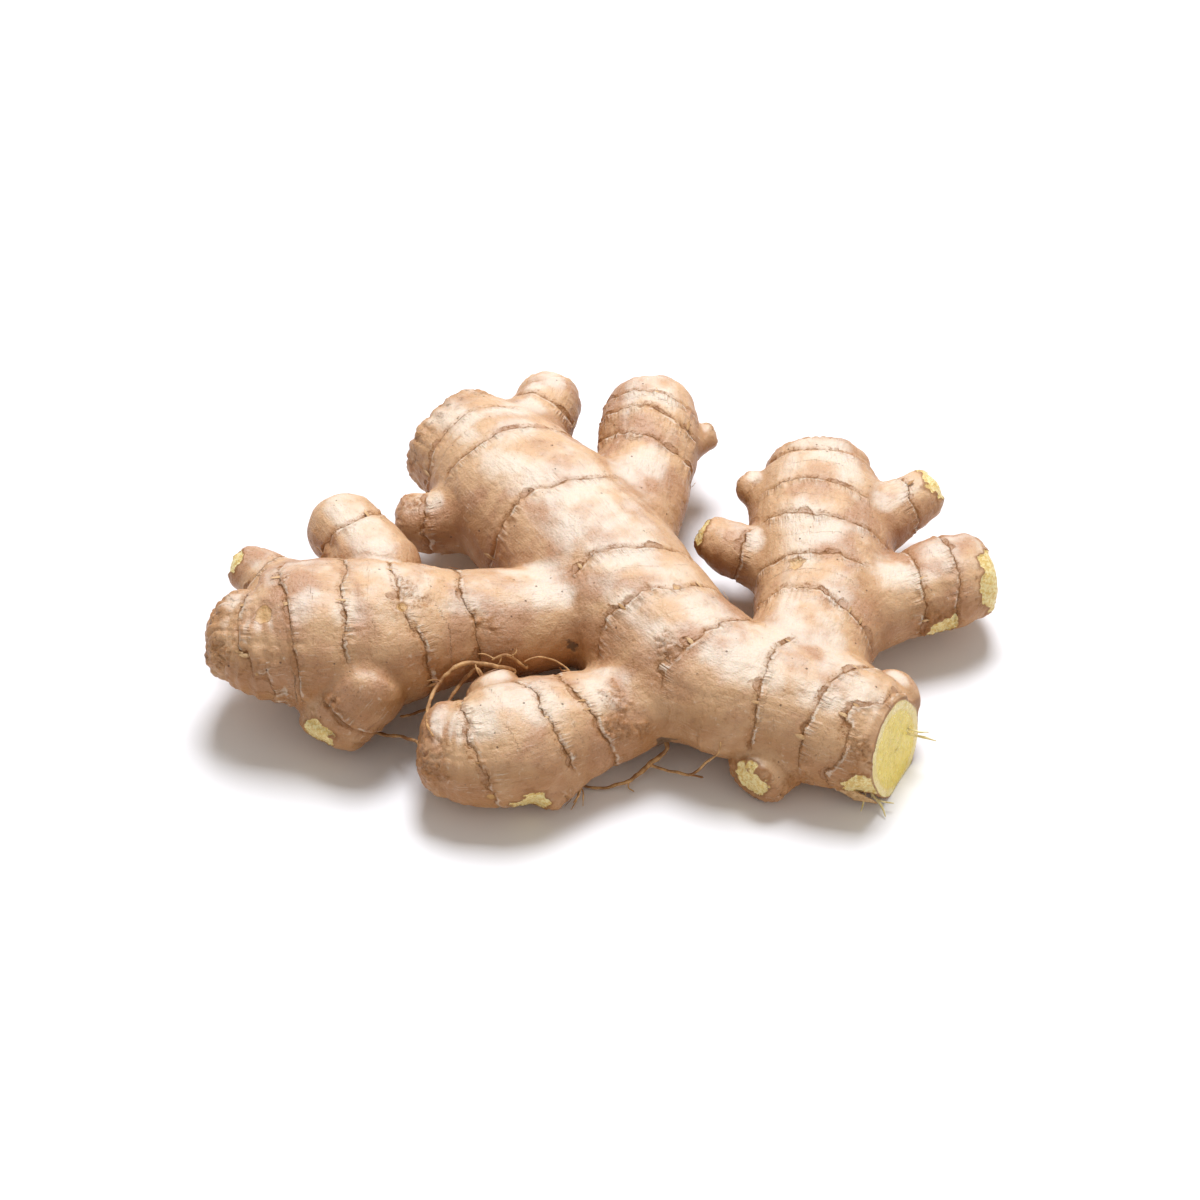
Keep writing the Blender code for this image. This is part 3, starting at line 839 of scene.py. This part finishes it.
    # bare flesh where buds broke off
    flesh = s.plus(s.number("flesh"), s.times(fray, 0.8))
    flesh_share = s.range(flesh, 0.1, -0.25)
    fibres = s.noise(place, 0.7, 4, 0.7)
    flesh_tone = s.mix(s.range(fibres, 0.4, 0.6), FLESH, FLESH_PALE)
    colour = s.mix(s.range(s.absolute(flesh), 1.1, 0.1, 0.0, 0.8), colour, RING_BROWN)
    colour = s.mix(flesh_share, colour, flesh_tone)

    # soil
    soil = s.range(s.plus(s.number("dirt"), s.times(fray, 3.0)), 0.5, -0.6, 0.0, 0.8)
    colour = s.mix(soil, colour, SOIL)

    # the knife cut: thin brown skin, pale outer layer, a fine line and the yellow core with its fibres
    cut = s.number("cut")
    core = s.range(s.plus(cut, s.times(fray, 0.8)), 1.6, 2.4)
    cut_tone = s.mix(core, CUT_OUTER, CUT_INNER)
    core_line = s.range(s.absolute(s.minus(cut, 2.1)), 0.3, 0.1, 0.0, 0.35)
    cut_tone = s.mix(core_line, cut_tone, FLESH)
    cut_tone = s.mix(s.range(fibres, 0.56, 0.7, 0.0, 0.8), cut_tone, CUT_FIBRE)
    cut_tone = s.mix(s.range(s.noise(place, 2.2, 2), 0.6, 0.35, 0.0, 0.5), cut_tone, CUT_DEEP)
    colour = s.mix(s.range(cut, 0.05, 0.35), colour, cut_tone)
    rim = s.range(s.absolute(s.minus(cut, 0.05)), 0.4, 0.15, 0.0, 0.8)
    colour = s.mix(rim, colour, BARK_BROWN)

    # relief too fine for the mesh
    height = s.times(streak, s.range(streaked, 0, 1, 0.03, 0.12))
    height = s.plus(height, s.times(s.times(pleat, behind), 0.7))
    height = s.plus(height, s.times(mottle, 0.34))
    height = s.plus(height, s.times(s.noise(place, 0.5, 3, 0.6), 0.12))
    height = s.minus(height, s.times(line, 0.18))
    height = s.minus(height, s.times(edge, 0.08))
    height = s.minus(height, s.times(dot, 0.1))
    height = s.plus(height, s.times(fibres, 0.06))
    bump = s.node("Bump", {"Height": height, "Strength": 1.0, "Distance": 1.2 * MM})

    rough = s.range(mottle, 0.3, 0.7, 0.36, 0.54)
    rough = s.plus(rough, s.times(s.math("MAXIMUM", line, crust), 0.2))
    rough = s.minus(rough, s.times(s.range(cut, 0.1, 0.4), 0.15))
    return s.finish({"Base Color": colour, "Roughness": rough, "Normal": bump.outputs["Normal"],
                     "Subsurface Weight": 0.12, "Subsurface Radius": (1.0, 0.5, 0.25),
                     "Subsurface Scale": 2.0 * MM, "Specular IOR Level": 0.45})


def bark_material(name, dark, light, crack):
    """Dry, streaky plant skin between a dark and a light tone, with darker cracks."""
    s = Shader(name)
    place = s.place()
    colour = s.mix(s.range(s.noise(place, 2.2, 3, 0.6), 0.35, 0.65), dark, light)
    bark = s.noise(place, 0.5, 3, 0.7)
    colour = s.mix(s.range(bark, 0.45, 0.3, 0.0, 0.6), colour, crack)
    bump = s.node("Bump", {"Height": bark, "Strength": 0.8, "Distance": 0.25 * MM})
    rough = s.range(bark, 0.3, 0.7, 0.55, 0.8)
    return s.finish({"Base Color": colour, "Roughness": rough, "Normal": bump.outputs["Normal"]})


# ---- rootlets
ROOTS = {
    "root_arch": [
        (-19.4, -32.1, 17.3, .4), (-23.3, -33.4, 19.9, .45), (-27, -32.5, 19.9, .45),
        (-30.2, -33.3, 20.5, .45), (-32.8, -34.9, 19.8, .45), (-34.7, -36.6, 18.5, .4),
        (-36.3, -39.5, 17.6, .4), (-37, -42.9, 17.5, .35), (-37.1, -47, 18.3, .35), (-36.5, -50.4, 19.4, .3),
        (-35.5, -52.8, 19.6, .25)],
    "root_dark": [
        (-27.2, -33.4, 19.1, .4), (-28.7, -33.8, 17.9, .4), (-30.7, -34.7, 15.9, .45),
        (-32.1, -36.7, 15.2, .4), (-33, -38.3, 14.7, .35)],
    "root_cross": [
        (-31.2, -34.2, 10.5, .3), (-33.8, -34.1, 9.5, .3), (-36, -34.3, 8.5, .3), (-39.2, -35.6, 8.5, .3),
        (-41.4, -36.9, 8.7, .3), (-43.2, -38, 9.5, .3)],
    "root_bridge": [
        (-49.3, -37.8, 4.2, .3), (-48, -38.3, 4.5, .35), (-45.9, -39.9, 5.5, .35), (-43.4, -40.9, 6.5, .35),
        (-41.8, -42.5, 7.5, .35), (-39.5, -45.2, 9.5, .35), (-38.9, -48, 11.2, .35)],
    "root_knot": [
        (-16.9, -30.3, 16.1, .3), (-18.8, -30.9, 18.7, .35), (-20.4, -30.9, 20.3, .35),
        (-21.9, -31, 20.7, .3), (-23.9, -31.5, 20, .25)],
    "root_hair": [
        (-8, -30.4, 15.5, .2), (-10.1, -29.3, 16.5, .2), (-12, -28.9, 17.4, .2), (-14.3, -29.4, 18.5, .2),
        (-15.9, -29.9, 18.6, .2), (-17.2, -30.4, 18.1, .2)],
    "root_under": [
        (12.5, -44.5, 6.6, .5), (11.2, -45.2, 5, .5), (9.3, -46, 4, .5), (7.5, -47.3, 3, .5),
        (5.8, -48.5, 2.5, .45), (4.6, -49.5, 2, .4), (1.8, -50.1, 1.5, .35), (-.2, -50.5, 1, .35),
        (-2.7, -50.3, .8, .3), (-4.8, -49.7, .7, .3)],
}
SIDE_ROOTS = {
    "root_under": [
        [(8.7, -46.5, 3.7, .3), (12.3, -47.8, 3.5, .3), (14.6, -48.8, 4, .3), (17, -49.9, 4.5, .3),
         (18.8, -49.7, 5.5, .3), (20.4, -49.3, 7.5, .25), (22.1, -50.7, 11, .25), (23, -51, 13, .2),
         (23.3, -51.1, 15.7, .2)],
        [(17, -49.9, 4.5, .25), (19.9, -49.7, 3.5, .2)]],
}
TUBE_SIDES = 8


def tube(path, seed, facing=UP + 0.1, flat=1.0):
    """Points and faces of a dry, uneven tube along (x, y, z, radius) stations, flattened where it faces."""
    rows = smooth_path(path, 5)
    line, radius = rows[:, :3], rows[:, 3]
    line = line + 0.07 * np.stack([noise(line, 1.3, seed + k) for k in range(3)], 1)
    along = np.gradient(line, axis=0)
    along /= np.linalg.norm(along, axis=1)[:, None]
    side = np.cross(along[0], facing)
    points = []
    for spot, way, r in zip(line, along, radius):
        side = side - way * (side @ way)
        side /= np.linalg.norm(side)
        up = np.cross(way, side)
        angles = np.arange(TUBE_SIDES) * 2 * math.pi / TUBE_SIDES
        points.append(spot + r * (np.cos(angles)[:, None] * side + flat * np.sin(angles)[:, None] * up))
    points = np.concatenate(points)
    swell = 1 + 0.28 * noise(points, 0.9, seed + 5)
    centre = np.repeat(line, TUBE_SIDES, axis=0)
    points = centre + (points - centre) * swell[:, None]
    ring = np.arange(TUBE_SIDES)
    after = (ring + 1) % TUBE_SIDES
    faces = [np.stack([ring, after, after + TUBE_SIDES, ring + TUBE_SIDES], 1) + i * TUBE_SIDES
             for i in range(len(line) - 1)]
    faces = np.concatenate(faces)
    tips = np.stack([line[0] - along[0] * radius[0], line[-1] + along[-1] * radius[-1] * 1.5])
    first, last = len(points), len(points) + 1
    tail = (len(line) - 1) * TUBE_SIDES
    caps = [(after[k], ring[k], first) for k in range(TUBE_SIDES)]
    caps += [(tail + ring[k], tail + after[k], last) for k in range(TUBE_SIDES)]
    return np.vstack([points, tips]), faces, caps


def make_strands(name, paths, material, seed, facings=None, flat=1.0):
    """One piece of several tubes, each closed at both ends."""
    mesh = bpy.data.meshes.new(name)
    points, faces = [], []
    for number, path in enumerate(paths):
        facing = UP + 0.1 if facings is None else facings[number]
        spots, quads, caps = tube(path, seed + number * 7, facing, flat)
        shift = sum(len(p) for p in points)
        faces += [tuple(int(i) + shift for i in face) for face in [*quads, *caps]]
        points.append(spots)
    mesh.from_pydata((np.vstack(points) * MM).tolist(), [], faces)
    mesh.shade_smooth()
    mesh.materials.append(material)
    return linked(name, mesh)


def rooted(path, skin):
    """The path with one more point before it, just under the nearest skin, if that is close."""
    start = np.array(path[0][:3])
    gap = np.linalg.norm(skin.points - start, axis=1)
    nearest = int(gap.argmin())
    if gap[nearest] > 3:
        return path
    hold = skin.points[nearest] - skin.normals[nearest] * 0.8
    return [(*hold, path[0][3] * 1.15), *path]


def make_rootlets(skin, material):
    """Each rootlet as a piece of its own, in the place of its CAD solid."""
    for number, (name, path) in enumerate(ROOTS.items()):
        paths = [rooted(path, skin)] + SIDE_ROOTS.get(name, [])
        piece = make_strands(name + "_fine", paths, material, 40 + number * 11)
        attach(piece, "root")
        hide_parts(name)


# Short side hairs (x, y, z, radius) on the rootlets and on the skin.
ROOT_HAIRS = [
    [(-34.5, -36.5, 18.5, .22), (-36, -36.5, 19, .18), (-38.5, -36, 18, .1)],
    [(-27.5, -33, 20, .22), (-27, -34.5, 19.5, .18), (-26.5, -35, 18.5, .1)],
    [(-23.5, -31.5, 20, .2), (-25.5, -31, 21, .16), (-27, -31, 21, .1)],
    [(-20, -31, 20.5, .2), (-19, -31, 21.5, .16), (-19, -30, 22, .1)],
    [(-22, -31, 20.5, .2), (-22.5, -32, 19.5, .15), (-23.5, -32, 18.5, .1)],
    [(-8, -30.5, 15.5, .18), (-9.5, -31, 16, .15), (-10, -31, 17, .1)],
    [(4.5, -49.5, 2, .22), (4.5, -50.5, 1, .18), (5.5, -51, .5, .12)],
]
SKIN_HAIRS = [
    [(-5.5, -54, 5, .25), (-6, -55, 3.5, .22), (-7, -55.5, 2, .12)],
    [(-6, -54, 4, .18), (-6.5, -55.5, 2.5, .15), (-7.5, -56, .5, .1)],
    [(-5, -54, 4, .18), (-5, -55, 2.5, .14), (-5, -55.5, 1, .1)],
]
# Pale fibres that the knife left standing at the cut, and the dry shard that hangs below it.
CUT_FIBRES = [
    [(64, -42.5, 8.5, .3), (66, -43.5, 9, .26), (68.5, -44, 8.5, .14)],
    [(64, -42, 9.5, .2), (65.5, -43, 10, .18), (67, -43, 10, .1)],
    [(55.0, -54.0, 3.2, .28), (56.8, -56.2, 1.9, .24), (57.6, -58.0, .6, .14)],
    [(55.0, -54.4, 2.8, .22), (57.4, -55.4, 2.2, .18), (59.4, -55.6, 2.0, .1)],
    [(53.4, -54.6, 2.6, .2), (53.0, -55.8, 1.6, .16), (52.6, -56.6, .7, .1)],
]
DRY_SHARD = [
    (45.8, -52.4, 7.2, .5), (48.2, -54.0, 5.6, 1.3), (51.2, -55.0, 3.8, 1.2), (54.0, -55.2, 2.6, .8),
    (55.8, -55.4, 1.9, .3)]
SHARD_FACING = np.array([0.3, -0.8, 0.4])
# Thickness over width of the shard and of the papery scales, and how many scales there are.
SHARD_FLATNESS = 0.22
SCALE_FLATNESS = 0.09
SCALE_COUNT = 70


def make_scales(skin, material):
    """Papery remnants of the leaf bases that stand on the growth rings, pointing to the finger tips."""
    draw = np.random.default_rng(23)
    on_ring = (np.abs(skin.ring) < 0.35) & (skin.ringed > 0.9)
    clear_of_cut_and_table = (skin.cut < -2) & (skin.points[:, 2] > 3)
    spots = np.where(on_ring & clear_of_cut_and_table)[0]
    spots = draw.choice(spots, SCALE_COUNT, replace=False)
    paths = []
    for spot in spots:
        place, out, way = skin.points[spot], skin.normals[spot], skin.way[spot]
        way = way - out * (way @ out)
        way /= np.linalg.norm(way)
        length, width = draw.uniform(0.9, 2.0), draw.uniform(0.2, 0.5)
        rise = draw.uniform(0.1, 0.4)
        stations = [(-0.5, -0.1, 0.7), (0.0, 0.12, 1.0), (0.5, 0.3 * rise + 0.12, 0.9),
                    (1.0, rise + 0.1, 0.25)]
        paths.append([(*(place + way * share * length + out * lift), width * wide)
                      for share, lift, wide in stations])
    return make_strands("papery_scales", paths, material, 300, skin.normals[spots], SCALE_FLATNESS)


def make_trimmings(skin):
    """Hairs, fibres, the dry shard and the papery scales: loose bits that stay on the rhizome."""
    brown = bark_material("dry_rootlet", *ROOTLET_TONES)
    papery = bark_material("papery_scale", *PAPERY_TONES)
    pale = bark_material("pale_fibre", *FIBRE_TONES)
    make_rootlets(skin, brown)
    hair_paths = ROOT_HAIRS + [rooted(path, skin) for path in SKIN_HAIRS]
    hairs = make_strands("fine_hairs", hair_paths, brown, 150)
    fibres = make_strands("cut_fibres", [rooted(path, skin) for path in CUT_FIBRES], pale, 170)
    shard_paths = [rooted(DRY_SHARD, skin)]
    shard = make_strands("dry_shard", shard_paths, papery, 190, [SHARD_FACING], SHARD_FLATNESS)
    scales = make_scales(skin, papery)
    for piece, finish in ((hairs, "rootlet"), (fibres, "skin"), (shard, "skin"), (scales, "skin")):
        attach(piece, "root")


# ---- table, light and camera
# What the camera looks at, and how far from it, how steeply down and through what lens.
TARGET = np.array([-1.5, -8.5, 14.5])
CAMERA_DISTANCE = 612.0
CAMERA_ELEVATION = math.radians(45)
CAMERA_LENS = 85.0
# The table's half side and colour, and the colour and strength of the light all around.
TABLE_HALF_SIDE = 6000.0
TABLE_COLOUR = (0.93, 0.91, 0.88, 1)
SURROUND_COLOUR = (1.0, 0.97, 0.94, 1)
SURROUND_STRENGTH = 0.42


def aim(thing, spot, target):
    """Places a lamp or camera at a spot, turned to the target, both in millimetres."""
    thing.location = [c * MM for c in spot]
    from_target = thing.location.copy()
    from_target.x -= target[0] * MM
    from_target.y -= target[1] * MM
    from_target.z -= target[2] * MM
    thing.rotation_euler = from_target.to_track_quat("Z", "Y").to_euler()


def add_camera():
    """The camera in front of the object, looking down at it."""
    lens = bpy.data.cameras.new("camera")
    lens.lens = CAMERA_LENS
    lens.clip_start, lens.clip_end = 0.01, 50
    camera = linked("camera", lens)
    back = np.array([0, -math.cos(CAMERA_ELEVATION), math.sin(CAMERA_ELEVATION)])
    aim(camera, TARGET + back * CAMERA_DISTANCE, TARGET)
    bpy.context.scene.camera = camera


def add_light(name, spot, width, height, power, colour):
    """A rectangular lamp aimed at the object. Its sides are in metres and its power in watts."""
    lamp = bpy.data.lights.new(name, "AREA")
    lamp.shape = "RECTANGLE"
    lamp.size, lamp.size_y = width, height
    lamp.energy, lamp.color = power, colour
    aim(linked(name, lamp), spot, TARGET)


def add_studio():
    """A pale table, an even surrounding light, and two soft lamps."""
    pale = Shader("pale_table").finish({"Base Color": TABLE_COLOUR, "Roughness": 0.9})
    size = TABLE_HALF_SIDE
    corners = [(-size, -size, 0), (size, -size, 0), (size, size, 0), (-size, size, 0)]
    floor = new_object("table_top", corners, [(0, 1, 2, 3)], pale, smooth=False)
    world = bpy.data.worlds.new("studio")
    world.use_nodes = True
    surround = world.node_tree.nodes["Background"].inputs
    surround["Color"].default_value = SURROUND_COLOUR
    surround["Strength"].default_value = SURROUND_STRENGTH
    bpy.context.scene.world = world
    add_light("key", (40, 400, 930), 0.4, 0.4, 11.3, (0.93, 0.97, 1.08))
    add_light("fill", (800, -450, 500), 0.7, 0.7, 1, (1.0, 0.92, 0.82))
    bpy.context.scene.view_settings.view_transform = "Standard"


# ---- the whole scene
add_camera()
add_studio()
rhizome, rhizome_skin = make_rhizome(skin_material())
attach(rhizome, "root")
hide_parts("rhizome")
make_trimmings(rhizome_skin)
